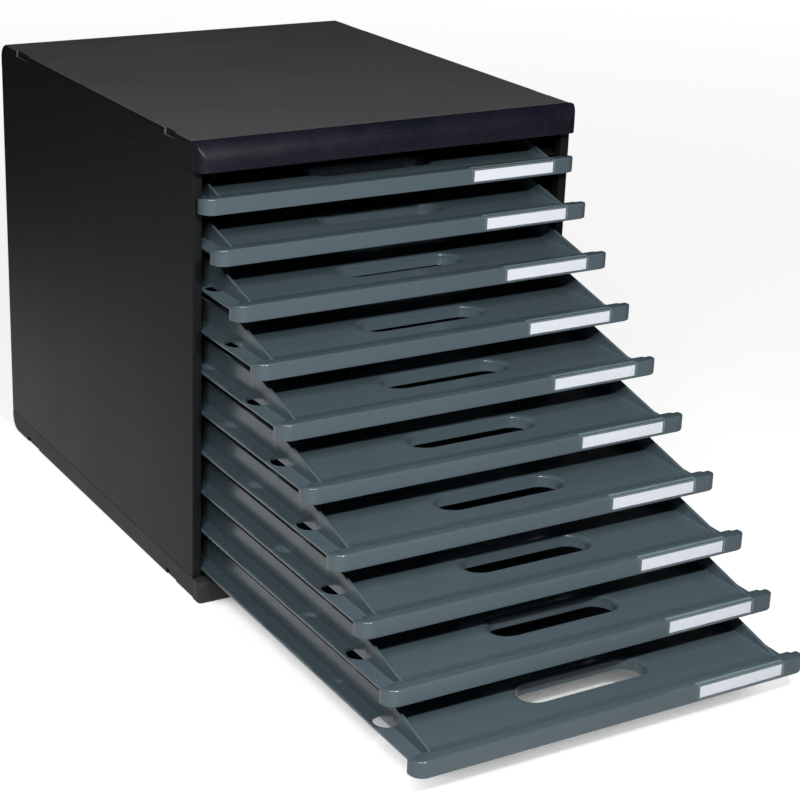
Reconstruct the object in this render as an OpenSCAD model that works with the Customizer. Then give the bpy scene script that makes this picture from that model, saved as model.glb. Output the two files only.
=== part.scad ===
// Desktop file drawer: ten pull-out trays in a moulded casing.
// Millimetres. +Z is up, -Y is the front, and the origin is the centre of the casing's underside.

/* [Casing] */
// Width of the casing across the sides
case_w = 286.2; // [274:0.1:330]
// Depth of the casing from the tray opening to the back, without the front trims
case_d = 341; // [341:1:400]
// Height of the casing
case_h = 314.3; // [314.3:0.1:340]
// Wall thickness of the casing mouldings
case_wall = 2.5; // [2:0.1:3]
// Height of the lid's skirt
lid_h = 18.9; // [17:0.1:22]
// Height of the base's skirt
base_h = 15.3; // [14:0.1:15.5]
// Radius of the rear corners, seen from the side
rear_r = 10; // [6:0.5:12]
// How far the front trims stand out
trim_out = 10; // [8:0.1:10]
// Width of the front edge of a side panel
post_w = 6.5; // [5:0.1:6.5]

/* [Drawers] */
// Height of the top drawer's rail above the floor
first_rail_top = 279.8; // [279:0.1:280]
// Distance from one drawer down to the next
pitch = 28.1; // [28:0.1:28.1]
// How far each rail's face stands in front of the casing, from the top drawer down
pulled = [13.7, 31.8, 58.9, 88.6, 119.8, 153.2, 188.8, 221.7, 253.3, 286.2]; // [10.5:0.1:290]

/* [Tray] */
// Width of the front rail
rail_w = 282.8; // [275:0.1:283]
// Height of the front rail
rail_h = 10.8; // [10:0.1:11]
// Depth of the front rail
rail_d = 10; // [10:0.1:12]
// Radius of the rail's ends, seen from above
rail_r = 8.5; // [5:0.5:9]
// Rounding of the rail's top front edge
rail_edge_r = 1.2; // [0.8:0.1:1.5]
// Length of a tray from the rail's face to the back
tray_l = 347; // [330:1:347]
// Width of a tray across the outside of its side walls
tray_w = 253; // [250:0.5:253]
// Thickness of the tray's walls and floor
tray_wall = 2; // [1.8:0.1:2.2]
// Height of the side walls above the rail's top
wall_rise = 9.2; // [6:0.1:9.2]
// Width over both runner flanges
runner_w = 272.2; // [268:0.1:272.2]
// Length of the finger slot across the tray
slot_l = 91; // [80:1:100]
// Width of the finger slot from front to back
slot_w = 24; // [20:1:26]

/* [Label] */
// Width of the label card
card_w = 64.1; // [50:0.1:66]
// Height of the label card
card_h = 8.3; // [8:0.1:8.4]
// Distance from the middle of the rail to the middle of the card
card_x = 89.35; // [80:0.05:90]

/* [Hidden] */
$fn = 64;
drawers = len(pulled);
front_y = -case_d / 2;
rear_y = case_d / 2;
cut = 1;
seam = 0.3;
two_digits = [for (i = [1:drawers]) str(i < 10 ? "0" : "", i)];

// Side panel
panel_x = case_w / 2 - case_wall;
panel_bottom = base_h;
panel_top = case_h - lid_h;
lap = 2.2;
lap_h = 10;
post_d = 8;
ledge_w = 10;
ledge_t = 2.5;
guide_t = 2;
rear_rib = 2;
rear_panel_t = 3;
panel_l = case_d - rear_panel_t;

// Lid and base
rib_t = 2;
rib_h = 6;
rebate = 2;
clip_d = 1.4;
clip_h = 4.5;
clip_front_y = 34.5;
clip_front_l = 16;
clip_rear_y = 296;
clip_rear_l = 24;
nose_bulge_r = 17.55;
nose_edge_r = 1.3;
nose_mid_z = panel_top + 4.6;
nose_corner_r = 7.5;
groove_w = 0.5;
groove_d = 0.4;
base_trim_h = 15;
base_trim_r = 4;
base_trim_corner_r = 3;

// Tray, measured down from the rail's top and back from its face
flat_d = 2;
slope_end = 15.5;
floor_z = -2.3;
runner_z = -4.6;
runner_t = 3.5;
pad_rise = 0.8;
pad_from = 13;
pad_to = 50;
pad_inner = 128.8;
floor_w = tray_w - tray_wall;
scallop_r = 8;
scallop_y = 58.5;
ramp_from = 7;
ramp_low = -3.8;
ramp_to = 50;
bead_r = 1.25;
ramp_bead_r = 1.2;
rear_bead_r = 1.15;
slot_y = 42;
collar_t = 1.8;
flare = 1.5;
rail_shell = 2.2;
rail_ribs = 8;
runner_play = 0.3;
guide_play = 0.4;

// Label recess
recess_margin = 1.5;
recess_d = 1.6;
recess_bottom = 0.9;
card_t = 0.4;
card_drop = 0.8;
lens_t = 1.2;
hook_t = 0.8;
hook_l = 4;

function rail_top(i) = first_rail_top - i * pitch;

// Moves a tray piece, drawn at its rail, to where drawer i stands
module at_drawer(i) {
    translate([0, front_y - pulled[i], rail_top(i)]) children();
}

// Extrudes a side outline, drawn as (y, z), across a width centred on x = 0
module across(width) {
    rotate([90, 0, 90]) linear_extrude(width, center = true) children();
}

module both_sides() {
    children();
    mirror([1, 0, 0]) children();
}

module box(x0, x1, y0, y1, z0, z1) {
    translate([x0, y0, z0]) cube([x1 - x0, y1 - y0, z1 - z0]);
}

// Quarter of a disc, in the quadrant where x and y are positive
module quarter(r) {
    intersection() {
        circle(r);
        square(r);
    }
}

// ---- Lid and base ----

// Side outline of a shell whose rear top corner is round, inset by its wall; open_by lets the
// hollow run out of the underside
module shell_side(top, height, inset, open_by) {
    r = rear_r - inset;
    corner_z = top - rear_r;
    translate([front_y + inset, top - height - open_by])
        square([case_d - 2 * inset, height - rear_r + open_by]);
    translate([front_y + inset, corner_z]) square([case_d - rear_r - inset, r]);
    translate([rear_y - rear_r, corner_z]) quarter(r);
}

module shell(top, height) {
    difference() {
        across(case_w) shell_side(top, height, 0, 0);
        across(case_w - 2 * case_wall) shell_side(top, height, case_wall, cut);
    }
}

// Recesses in an upper or lower side edge, where clips join stacked units
module clip_recesses(z0, z1) {
    both_sides() {
        for (c = [[clip_front_y, clip_front_l], [clip_rear_y, clip_rear_l]])
            box(case_w / 2 - clip_d, case_w / 2 + cut,
                front_y + c[0] - c[1] / 2, front_y + c[0] + c[1] / 2, z0, z1);
    }
}

module lid_ribs(z0, z1) {
    inner_x = panel_x - lap - 2 * seam;
    for (x = [-0.5, 0, 0.5])
        box(x * case_w / 2 - rib_t / 2, x * case_w / 2 + rib_t / 2,
            front_y + case_wall - seam, rear_y - case_wall + seam, z0, z1);
    for (y = [-0.3, 0, 0.3])
        box(-inner_x, inner_x, y * case_d - rib_t / 2, y * case_d + rib_t / 2, z0, z1);
}

module top_cover() {
    color([0.16, 0.16, 0.17]) {
        difference() {
            shell(case_h, lid_h);
            // Rebate that the front trim's tongue fills
            box(-case_w / 2 - cut, case_w / 2 + cut,
                front_y - cut, front_y + rebate, case_h - rebate, case_h + cut);
            clip_recesses(case_h - clip_h, case_h + cut);
        }
        lid_ribs(case_h - case_wall - rib_h, case_h - case_wall + seam);
    }
}

// Side outline of the nose: a shallow bulge that a small radius carries into the flat top. It is
// drawn from the bulge's centre, and both arcs meet at join_z
module nose_side() {
    rise = case_h - nose_mid_z;
    edge_z = rise - nose_edge_r;
    edge_y = -sqrt(pow(nose_bulge_r - nose_edge_r, 2) - pow(edge_z, 2));
    join_z = edge_z * nose_bulge_r / (nose_bulge_r - nose_edge_r);
    back_y = trim_out - nose_bulge_r;
    translate([front_y - back_y, nose_mid_z]) {
        intersection() {
            circle(nose_bulge_r);
            translate([-nose_bulge_r - cut, 0]) square([trim_out + cut, join_z]);
        }
        translate([edge_y, 0]) square([back_y - edge_y, rise]);
        translate([edge_y, join_z]) intersection() {
            translate([0, edge_z - join_z]) circle(nose_edge_r);
            translate([-nose_edge_r, 0]) square([nose_edge_r, rise - join_z]);
        }
    }
    translate([front_y - trim_out, panel_top]) square([trim_out, nose_mid_z - panel_top]);
    translate([front_y - cut, case_h - rebate]) square([rebate + cut - seam / 2, rebate]);
}

// Plan outline of a front trim with rounded front corners
module trim_plan(corner_r) {
    x = case_w / 2 - corner_r;
    y = front_y - trim_out + corner_r;
    both_sides() translate([x, y]) mirror([0, 1]) quarter(corner_r);
    translate([-case_w / 2, y]) square([case_w, trim_out - corner_r + rebate]);
    translate([-x, y - corner_r]) square([2 * x, corner_r]);
}

module top_front_trim() {
    color([0.12, 0.12, 0.15]) difference() {
        intersection() {
            across(case_w) nose_side();
            translate([0, 0, panel_top - cut]) linear_extrude(lid_h + 2 * cut)
                trim_plan(nose_corner_r);
        }
        box(-case_w, case_w, front_y - 2 * groove_w, front_y - groove_w,
            case_h - groove_d, case_h + cut);
    }
}

module base_plate() {
    color([0.16, 0.16, 0.17]) {
        difference() {
            translate([0, 0, base_h]) mirror([0, 0, 1]) shell(base_h, base_h);
            clip_recesses(-cut, clip_h);
        }
        lid_ribs(case_wall - seam, case_wall + rib_h);
    }
}

module base_front_trim() {
    round_y = front_y - trim_out + base_trim_r;
    round_z = base_trim_h - base_trim_r;
    color([0.14, 0.14, 0.16]) intersection() {
        across(case_w) {
            translate([round_y, round_z]) mirror([1, 0]) quarter(base_trim_r);
            translate([front_y - trim_out, 0]) square([trim_out, round_z]);
            translate([round_y, round_z]) square([trim_out - base_trim_r, base_trim_r]);
        }
        translate([0, 0, -cut]) linear_extrude(base_h + 2 * cut) trim_plan(base_trim_corner_r);
    }
}

// ---- Side and rear panels ----

// One drawer's runner channel: a ledge under the flange and a guide over it
module channel(z) {
    ledge_top = z + runner_z - runner_t - runner_play;
    guide_bottom = z + runner_z + pad_rise + guide_play;
    back = front_y + panel_l - rear_rib;
    box(panel_x - ledge_w, panel_x + seam, front_y + post_d - seam, back + seam,
        ledge_top - ledge_t, ledge_top);
    box(panel_x - ledge_w, panel_x + seam, front_y + post_d - seam, back + seam,
        guide_bottom, guide_bottom + guide_t);
}

// The right-hand side panel
module side_panel() {
    color([0.13, 0.13, 0.14]) {
        box(panel_x, case_w / 2, front_y, rear_y, panel_bottom + seam / 2, panel_top - seam / 2);
        // Laps that stand inside the skirts of the base and the lid
        box(panel_x - lap, panel_x, front_y + case_wall, front_y + panel_l - rear_r,
            case_wall, panel_bottom + lap_h);
        box(panel_x - lap, panel_x, front_y + case_wall, front_y + panel_l - rear_r,
            panel_top - lap_h, case_h - case_wall);
        // Front post and the rib that the rear panel rests against
        box(case_w / 2 - post_w, panel_x + seam, front_y, front_y + post_d,
            panel_bottom + seam / 2, panel_top - seam / 2);
        box(panel_x - 3, panel_x + seam, front_y + panel_l - rear_rib, front_y + panel_l,
            panel_bottom + seam / 2, panel_top - seam / 2);
        for (i = [0:drawers - 1]) channel(rail_top(i));
    }
}

module right_side_panel() {
    side_panel();
}

module left_side_panel() {
    mirror([1, 0, 0]) side_panel();
}

module rear_panel() {
    color([0.15, 0.15, 0.16]) {
        box(-panel_x, panel_x, front_y + panel_l, rear_y,
            panel_bottom + seam / 2, panel_top - seam / 2);
    }
}

// ---- Tray ----

module rail_plan() {
    x = rail_w / 2 - rail_r;
    both_sides() translate([x, rail_r]) mirror([0, 1]) quarter(rail_r);
    translate([-rail_w / 2, rail_r]) square([rail_w, rail_d - rail_r]);
    translate([-x, 0]) square([2 * x, rail_r]);
}

function slope_z(y) = floor_z * (y - flat_d) / (slope_end - flat_d);

// Side outline of the rail: rounded top front edge, short flat, then the start of the slope
module rail_side() {
    translate([rail_edge_r, -rail_edge_r]) mirror([1, 0]) quarter(rail_edge_r);
    polygon([
        [0, -rail_h], [0, -rail_edge_r], [rail_edge_r, -rail_edge_r], [rail_edge_r, 0],
        [flat_d, 0], [rail_d, slope_z(rail_d)], [rail_d, -rail_h]
    ]);
}

// Side outline of the strip that slopes from the rail down to the floor
module slope_side() {
    start = rail_d - 1;
    polygon([
        [start, slope_z(start)], [slope_end, floor_z],
        [slope_end, floor_z - tray_wall], [start, floor_z - tray_wall]
    ]);
}

module finger_slot(r, z0, z1) {
    x = slot_l / 2 - slot_w / 2;
    both_sides() translate([x, slot_y, z0]) cylinder(h = z1 - z0, r = r);
    box(-x, x, slot_y - r, slot_y + r, z0, z1);
}

// The slot's rim widens upwards by the flare
module slot_flare() {
    x = slot_l / 2 - slot_w / 2;
    r = slot_w / 2;
    both_sides() translate([x, slot_y, floor_z - flare])
        cylinder(h = flare + cut, r1 = r, r2 = r + flare + cut);
    translate([0, slot_y, floor_z - flare]) rotate([90, 0, 90])
        linear_extrude(2 * x, center = true)
            polygon([[-r, 0], [r, 0], [r + flare + cut, flare + cut], [-r - flare - cut, flare + cut]]);
}

module side_wall() {
    wall_x = tray_w / 2;
    foot = runner_z - runner_t;
    ramp_a = atan2(wall_rise - bead_r - ramp_low, ramp_to - ramp_from);
    translate([wall_x - tray_wall / 2, 0, 0]) across(tray_wall) polygon([
        [ramp_from, foot], [ramp_from, ramp_low], [ramp_to, wall_rise - bead_r],
        [tray_l, wall_rise - bead_r], [tray_l, foot]
    ]);
    // Round bead along the top of the wall and down the ramp
    translate([wall_x - tray_wall / 2, ramp_to, wall_rise - bead_r]) {
        rotate([-90, 0, 0]) cylinder(h = tray_l - tray_wall / 2 - ramp_to, r = bead_r);
        rotate([90 + ramp_a, 0, 0])
            cylinder(h = (ramp_to - ramp_from) / cos(ramp_a), r = ramp_bead_r);
    }
}

module rear_wall() {
    box(-tray_w / 2 + tray_wall / 2, tray_w / 2 - tray_wall / 2, tray_l - tray_wall, tray_l,
        floor_z - tray_wall, wall_rise - bead_r);
    translate([0, tray_l - tray_wall / 2, wall_rise - bead_r]) rotate([0, 90, 0])
        cylinder(h = tray_w - tray_wall, r = rear_bead_r, center = true);
}

module runner() {
    inner = tray_w / 2 - 0.5;
    outer = runner_w / 2;
    difference() {
        union() {
            box(inner, outer, rail_d - seam, tray_l, runner_z - runner_t, runner_z);
            box(pad_inner, outer, pad_from, pad_to, runner_z - seam, runner_z + pad_rise);
        }
        translate([tray_w / 2, scallop_y, runner_z - runner_t - cut])
            cylinder(h = runner_t + 2 * cut, r = scallop_r);
    }
}

// Hollow under the rail, between cross ribs
module rail_hollow() {
    cells = rail_ribs + 1;
    span = 2 * (rail_w / 2 - rail_r);
    cell = span / cells;
    for (i = [0:cells - 1])
        box(-span / 2 + i * cell + rib_t / 2, -span / 2 + (i + 1) * cell - rib_t / 2,
            recess_d + rail_shell, rail_d - rail_shell, -rail_h - cut, floor_z - tray_wall);
}

module label_recess() {
    x0 = card_x - card_w / 2 - recess_margin;
    x1 = card_x + card_w / 2 + recess_margin;
    box(x0, x1, -cut, recess_d, -rail_h + recess_bottom, cut);
    box(x0, x1, 0, hook_l, -hook_t, cut);
}

module tray() {
    color([0.24, 0.29, 0.32]) difference() {
        union() {
            intersection() {
                across(rail_w) rail_side();
                translate([0, 0, -rail_h - cut]) linear_extrude(rail_h + 2 * cut) rail_plan();
            }
            across(floor_w) slope_side();
            box(-floor_w / 2, floor_w / 2, slope_end, tray_l - tray_wall / 2,
                floor_z - tray_wall, floor_z);
            rear_wall();
            finger_slot(slot_w / 2 + collar_t, -rail_h, floor_z - tray_wall / 2);
            both_sides() {
                side_wall();
                runner();
            }
        }
        finger_slot(slot_w / 2, -rail_h - cut, cut);
        slot_flare();
        rail_hollow();
        label_recess();
    }
}

module label_card() {
    color([0.93, 0.92, 0.96]) box(card_x - card_w / 2, card_x + card_w / 2,
        recess_d - card_t, recess_d, -card_drop - card_h, -card_drop);
}

module label_window() {
    x0 = card_x - card_w / 2 - recess_margin;
    x1 = card_x + card_w / 2 + recess_margin;
    color([0.6, 0.75, 0.72, 0.4]) {
        box(x0, x1, 0, lens_t, -rail_h + recess_bottom, -rail_edge_r);
        box(x0, x1, rail_edge_r, hook_l, -hook_t, 0);
        translate([card_x, rail_edge_r, -rail_edge_r]) rotate([0, 90, 0]) intersection() {
            cylinder(h = x1 - x0, r = rail_edge_r, center = true);
            translate([0, -rail_edge_r / 2, 0])
                cube([4 * rail_edge_r, rail_edge_r, x1 - x0 + cut], center = true);
        }
    }
}

top_cover();
top_front_trim();
base_plate();
base_front_trim();
left_side_panel();
right_side_panel();
rear_panel();
for (i = [0:drawers - 1]) {
    at_drawer(i) tray();
    at_drawer(i) label_card();
    at_drawer(i) label_window();
}
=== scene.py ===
# %% [markdown]
# # A desktop drawer cabinet, made surface by surface
# The real object is a black moulded casing with ten slate-grey trays, pulled out like steps. Its
# shapes are known exactly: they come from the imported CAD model, which is loaded first and never
# moved. Each lesson cell below says what one piece is on the real cabinet and how its surface is
# worked out; the code cell after it makes the piece and prints what was made.

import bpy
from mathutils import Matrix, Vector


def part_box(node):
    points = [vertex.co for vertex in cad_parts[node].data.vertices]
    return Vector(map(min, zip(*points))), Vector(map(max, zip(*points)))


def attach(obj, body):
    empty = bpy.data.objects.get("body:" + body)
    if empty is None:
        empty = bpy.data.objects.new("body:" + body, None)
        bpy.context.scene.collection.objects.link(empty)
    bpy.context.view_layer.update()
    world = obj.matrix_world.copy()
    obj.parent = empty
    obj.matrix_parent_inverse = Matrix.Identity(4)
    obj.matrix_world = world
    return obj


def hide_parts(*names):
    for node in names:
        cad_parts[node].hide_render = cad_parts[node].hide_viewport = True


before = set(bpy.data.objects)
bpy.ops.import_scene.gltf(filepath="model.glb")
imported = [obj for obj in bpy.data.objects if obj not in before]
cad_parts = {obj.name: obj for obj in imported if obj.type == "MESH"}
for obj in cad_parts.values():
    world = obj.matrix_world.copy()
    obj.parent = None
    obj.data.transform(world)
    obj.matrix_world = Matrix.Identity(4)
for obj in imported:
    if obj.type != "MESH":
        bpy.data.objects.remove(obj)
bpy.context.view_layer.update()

# %% [markdown]
# The rest of the file works in millimetres, because that is how such a moulding is dimensioned.
# Only the last step of each mesh multiplies by MM to reach Blender's metres. The casing's outer
# sizes and each drawer's place are read from the CAD boxes.

# %% Sizes read from the frame
import math

import bpy
import numpy as np
from mathutils import Matrix, Vector

MM = 0.001


def box_mm(node):
    """The low and high corner of a CAD node, in millimetres."""
    low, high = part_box(node)
    return np.array(low) / MM, np.array(high) / MM


side_low, side_high = box_mm("right_side_panel")
lid_low, lid_high = box_mm("top_cover")
_, base_high = box_mm("base_plate")
top_trim_low, _ = box_mm("top_front_trim")
base_trim_low, base_trim_high = box_mm("base_front_trim")
rear_low, rear_high = box_mm("rear_panel")

HALF_W = side_high[0]
FRONT, REAR = side_low[1], side_high[1]
LID_TOP, LID_EDGE = lid_high[2], lid_low[2]
BASE_EDGE = base_high[2]
print(f"casing {2 * HALF_W:.1f} x {REAR - FRONT:.1f} x {LID_TOP:.1f} mm")

# %% [markdown]
# A tray is drawn once, at its rail: x runs across it, y goes back from the rail's face, and z is
# measured up from the rail's top edge. Each drawer then needs only two numbers, the y of its face
# and the z of its rail's top, and both come from its CAD box.

# %% Where each drawer stands
DRAWERS = [f"{i:02d}" for i in range(1, 11)]
RAIL_H = 10.8
tray_place = {}
for d in DRAWERS:
    low, _ = box_mm(f"tray_{d}")
    tray_place[d] = (low[1], low[2] + RAIL_H)
print("rail faces at y =", [round(float(p[0]), 1) for p in tray_place.values()])

# %% [markdown]
# ## Helpers that make every mesh
# A moulded part is a profile carried along a path. `loft` joins a stack of such profiles (rings)
# into a skin, closes both ends, and uses the signed volume to make sure that the faces point out.
# `rounded` turns a sharp outline into one with small radii, because no moulded edge is sharp and
# the radii are what catch the light.

# %% Profiles and lofts
def arc(cx, cy, r, a0, a1, n):
    """Points (cx + r cos a, cy + r sin a) for n angles from a0 to a1, in degrees."""
    a = np.radians(np.linspace(a0, a1, n))
    return np.stack([cx + r * np.cos(a), cy + r * np.sin(a)], -1)


def rounded(corners, radii, steps=4):
    """A closed outline whose corners are replaced by arcs of the given radii.

    At a corner with unit directions u (to the point before) and v (to the point after), the arc
    starts and ends r / tan(half the angle) from the corner, and its points lie on the quadratic
    curve (1-t)^2 start + 2t(1-t) corner + t^2 end.
    """
    p = np.asarray(corners, float)
    r = np.broadcast_to(np.asarray(radii, float), len(p))[:, None]
    u = np.roll(p, 1, 0) - p
    v = np.roll(p, -1, 0) - p
    u /= np.linalg.norm(u, axis=1, keepdims=True)
    v /= np.linalg.norm(v, axis=1, keepdims=True)
    half = np.arccos(np.clip((u * v).sum(1, keepdims=True), -1, 1)) / 2
    reach = r / np.tan(half)
    t = np.linspace(0, 1, steps + 1)[None, :, None]
    start, end = (p + reach * u)[:, None], (p + reach * v)[:, None]
    curve = (1 - t) ** 2 * start + 2 * t * (1 - t) * p[:, None] + t ** 2 * end
    return curve.reshape(-1, 2)


def signed_volume(verts, faces):
    """Sum over fan triangles of a . (b x c) / 6, positive when a closed skin faces outwards."""
    total = 0.0
    by_count = {}
    for f in faces:
        by_count.setdefault(len(f), []).append(f)
    for count, group in by_count.items():
        p = verts[np.array(group)]
        for k in range(1, count - 1):
            total += np.einsum("ij,ij->", p[:, 0], np.cross(p[:, k], p[:, k + 1])) / 6
    return total


def loft(rings, loop=False):
    """A closed skin through rings[s, k]: quad (s, k) joins points k and k+1 of rings s and s+1.

    With loop the last ring joins the first, as round a hole; otherwise each end gets one face.
    """
    rings = np.asarray(rings, float)
    s, n = rings.shape[:2]
    index = np.arange(s * n).reshape(s, n)
    after = np.roll(index, -1, 1)
    up, up_after = np.roll(index, -1, 0), np.roll(after, -1, 0)
    rows = s if loop else s - 1
    quads = np.stack([index, after, up_after, up], -1)[:rows].reshape(-1, 4)
    faces = quads.tolist()
    if not loop:
        faces += [index[0, ::-1].tolist(), index[-1].tolist()]
    verts = rings.reshape(-1, 3)
    if signed_volume(verts, faces) < 0:
        faces = [f[::-1] for f in faces]
    return verts, faces


def extrude(profile, axis, stations, shrink=0.0):
    """Carries a flat profile along x, y or z; shrink pulls both end rings in, for a soft edge."""
    profile = np.asarray(profile, float)
    stations = np.asarray(stations, float)
    if shrink:
        step = np.sign(stations[-1] - stations[0]) * shrink
        stations = np.concatenate([stations[:1], stations[:1] + step, stations[1:-1],
                                   stations[-1:] - step, stations[-1:]])
    rings = np.repeat(profile[None], len(stations), 0)
    if shrink:
        centre = (profile.min(0) + profile.max(0)) / 2
        size = profile.max(0) - profile.min(0)
        rings[[0, -1]] = centre + (profile - centre) * (1 - 2 * shrink / size)
    along = np.broadcast_to(stations[:, None], rings.shape[:2])
    order = {"x": (along, rings[..., 0], rings[..., 1]),
             "y": (rings[..., 0], along, rings[..., 1]),
             "z": (rings[..., 0], rings[..., 1], along)}[axis]
    return loft(np.stack(order, -1))


def mirrored(skin):
    """The same skin on the other side of x = 0, with its faces turned to point out again."""
    verts, faces = skin
    return verts * [-1, 1, 1], [f[::-1] for f in faces]


print("profile helpers ready")

# %% [markdown]
# `piece` joins skins into one Blender mesh, at the origin and unturned, as a CAD node is. Faces
# are smooth, and edges sharper than about 32 degrees stay crisp. The piece then rides on its
# body, replaces its CAD node and takes its finishes.

# %% Making a piece
SHARP = math.radians(32)
triangles = 0


def piece(name, skins, finishes, body, nodes, offset=(0, 0, 0)):
    """Builds one object from skins in millimetres; offset moves them to their place."""
    global triangles
    start = np.cumsum([0] + [len(v) for v, _ in skins])
    verts = (np.concatenate([v for v, _ in skins]) + offset) * MM
    faces = [[i + int(k) for i in f] for k, (_, fs) in zip(start, skins) for f in fs]
    mesh = bpy.data.meshes.new(name)
    mesh.from_pydata(verts.tolist(), [], faces)
    mesh.validate()
    mesh.polygons.foreach_set("use_smooth", np.ones(len(mesh.polygons), bool))
    mesh.set_sharp_from_angle(angle=SHARP)
    for finish in finishes:
        mesh.materials.append(finish)
    obj = bpy.data.objects.new(name, mesh)
    bpy.context.scene.collection.objects.link(obj)
    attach(obj, body)
    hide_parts(*nodes)
    triangles += sum(len(f) - 2 for f in faces)
    return obj


print("pieces keep edges sharper than", round(math.degrees(SHARP)), "degrees crisp")

# %% [markdown]
# ## Finishes
# The trays and the casing share one recipe with different numbers: a body colour with slow cloudy
# variation, a gloss that is broken up by a finer pattern, and two bumps, one for the tool's
# spark-eroded grain and one for the faint waviness of a moulding that cooled unevenly. Patterns
# read Object coordinates, which are real places on the object, so they stay fixed when a drawer
# slides.

# %% Small node helpers
def new_material(name):
    """A node material; returns it with its tree and its shader."""
    mat = bpy.data.materials.new(name)
    mat.use_nodes = True
    return mat, mat.node_tree, mat.node_tree.nodes["Principled BSDF"]


def add(tree, kind, **inputs):
    """Adds a node and sets its inputs, given by name or as i0, i1, ... ; a socket is linked."""
    node = tree.nodes.new(kind)
    for key, value in inputs.items():
        numbered = key[0] == "i" and key[1:].isdigit()
        socket = node.inputs[int(key[1:]) if numbered else key.replace("_", " ")]
        if isinstance(value, bpy.types.NodeSocket):
            tree.links.new(value, socket)
        else:
            socket.default_value = value
    return node


def place(tree, stretch=(1, 1, 1)):
    """Object coordinates in metres, stretched along each axis."""
    coords = tree.nodes.new("ShaderNodeTexCoord")
    return add(tree, "ShaderNodeMapping", Vector=coords.outputs["Object"],
               Scale=stretch).outputs["Vector"]


def noise(tree, where, scale, detail=2.0, rough=0.5):
    """Noise between 0 and 1; one feature is about 1/scale metres."""
    return add(tree, "ShaderNodeTexNoise", Vector=where, Scale=scale, Detail=detail,
               Roughness=rough).outputs["Fac"]


def span(tree, value, low, high, to_low, to_high):
    """Carries low..high onto to_low..to_high, clamped."""
    node = tree.nodes.new("ShaderNodeMapRange")
    tree.links.new(value, node.inputs["Value"])
    for key, v in zip(("From Min", "From Max", "To Min", "To Max"), (low, high, to_low, to_high)):
        node.inputs[key].default_value = v
    return node.outputs["Result"]


def blend_colours(tree, factor, first, second):
    """A mix of two colours, the Mix node's inputs 6 and 7, by a factor between 0 and 1."""
    node = tree.nodes.new("ShaderNodeMix")
    node.data_type = "RGBA"
    tree.links.new(factor, node.inputs["Factor"])
    for key, v in ((6, first), (7, second)):
        if isinstance(v, bpy.types.NodeSocket):
            tree.links.new(v, node.inputs[key])
        else:
            node.inputs[key].default_value = (*v, 1)
    return node.outputs[2]


print("node helpers ready")

# %% [markdown]
# `cloud` is the size of the slow colour variation, `grain` the size of the spark-eroded texture
# and `grain_depth` how deep it is. `flow` scales the colour and gloss patterns along each axis,
# because molten plastic leaves faint streaks along the way it flowed. `grain_glint` paints the
# grain's tops lighter, a painted glint of light, and `polish` lays a thin smooth skin over it.

# %% Moulded plastic
POLISH_ROUGH = 0.13
NOISE_RANGE = (0.3, 0.7)


def moulded_plastic(name, dark, light, gloss, grain, grain_depth, cloud=0.06, flow=(1, 1, 1),
                    grain_glint=0.0, wave_depth=0.00002, specular=0.5, polish=0.0):
    """gloss is the lowest and highest roughness; sizes and depths are in metres.

    polish is the weight of the smooth skin, which gives crisp small highlights; specular scales
    the body's own reflection, and 0.5 is that of common plastic.
    """
    mat, tree, shader = new_material(name)
    where = place(tree)
    streaks = noise(tree, place(tree, flow), 1 / cloud, 4.0, 0.55)
    fine = noise(tree, where, 1 / grain, 3.0, 0.6)
    colour = blend_colours(tree, span(tree, streaks, *NOISE_RANGE, 0.0, 1.0), dark, light)
    # painted highlight: the grain's high points get a lighter colour for the glints they catch
    if grain_glint:
        glint_colour = tuple(min(1.0, c * (1 + grain_glint)) for c in light)
        colour = blend_colours(tree, span(tree, fine, 0.55, 0.75, 0.0, 1.0), colour, glint_colour)
    tree.links.new(colour, shader.inputs["Base Color"])
    sheen = noise(tree, place(tree, flow), 2.5 / cloud, 5.0, 0.6)
    tree.links.new(span(tree, sheen, *NOISE_RANGE, *gloss), shader.inputs["Roughness"])
    shader.inputs["Specular IOR Level"].default_value = specular
    shader.inputs["Coat Weight"].default_value = polish
    shader.inputs["Coat Roughness"].default_value = POLISH_ROUGH
    wave = add(tree, "ShaderNodeBump", Strength=1.0, Distance=wave_depth,
               Height=noise(tree, where, 0.5 / cloud, 1.0))
    bump = add(tree, "ShaderNodeBump", Strength=1.0, Distance=grain_depth, Height=fine,
               Normal=wave.outputs["Normal"])
    tree.links.new(bump.outputs["Normal"], shader.inputs["Normal"])
    return mat


TRAY = moulded_plastic("tray_slate", (0.070, 0.100, 0.116), (0.080, 0.114, 0.131), (0.25, 0.31),
                       0.0007, 0.000008, flow=(0.25, 2.0, 1.0), wave_depth=0.00003, polish=0.3)
# painted sheen: the grained top is a mid grey, far lighter than the black sides, for the sheen it
# reflects
CASE_TOP_PAINTED_SHEEN = moulded_plastic("casing_grained_painted_sheen", (0.070, 0.070, 0.074), (0.080, 0.080, 0.084),
                           (0.56, 0.6), 0.0011, 0.00006, grain_glint=0.25, specular=0.35)
CASE_SIDE = moulded_plastic("casing_satin", (0.0045, 0.0045, 0.0050), (0.0060, 0.0060, 0.0065),
                            (0.50, 0.54), 0.0008, 0.000012, cloud=0.12, flow=(1, 1, 0.4),
                            specular=0.28)
CASE_TRIM = moulded_plastic("casing_trim", (0.003, 0.0035, 0.008), (0.006, 0.0065, 0.013),
                            (0.36, 0.50), 0.0014, 0.00007, grain_glint=1.6, specular=0.34)
# painted light: the foot is the casing's black plastic, coloured lighter than the side panels to
# stand for the lamp light on its front
CASE_FOOT_PAINTED_LIGHT = moulded_plastic("casing_foot_painted_light", (0.024, 0.024, 0.026), (0.028, 0.028, 0.030),
                            (0.50, 0.56), 0.0009, 0.00002, specular=0.3)
print("plastics:", [m.name for m in (TRAY, CASE_TOP_PAINTED_SHEEN, CASE_SIDE, CASE_TRIM, CASE_FOOT_PAINTED_LIGHT)])

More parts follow.
